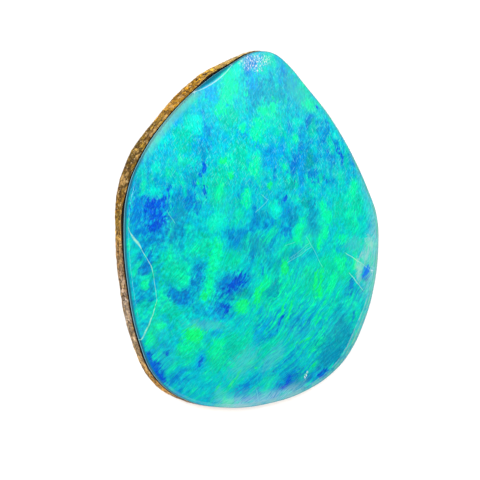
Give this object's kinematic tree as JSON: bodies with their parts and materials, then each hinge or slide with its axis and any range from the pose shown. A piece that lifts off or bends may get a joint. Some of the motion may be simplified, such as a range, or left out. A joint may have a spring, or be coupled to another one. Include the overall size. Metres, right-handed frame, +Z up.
{
  "type": "loose opal doublet",
  "caption": "Freeform pear-shaped opal doublet: a domed blue-green opal slice cemented with black epoxy to a flat ironstone back.",
  "frame": {"origin": "on the flat underside, below the middle of the stone's outline", "axes": "+Z up out of the domed face, +Y along the stone's length towards its narrow end"},
  "size_m": [0.0256, 0.0321, 0.0032],
  "materials": {
    "ironstone": "sawn and ground matt ironstone",
    "black_epoxy": "ground-off black epoxy film",
    "precious_opal": "glassy lapidary polish over blue and green play of colour"
  },
  "bodies": {
    "root": {"ironstone_backing": "ironstone", "black_cement": "black_epoxy", "opal_face": "precious_opal"}
  },
  "joints": []
}
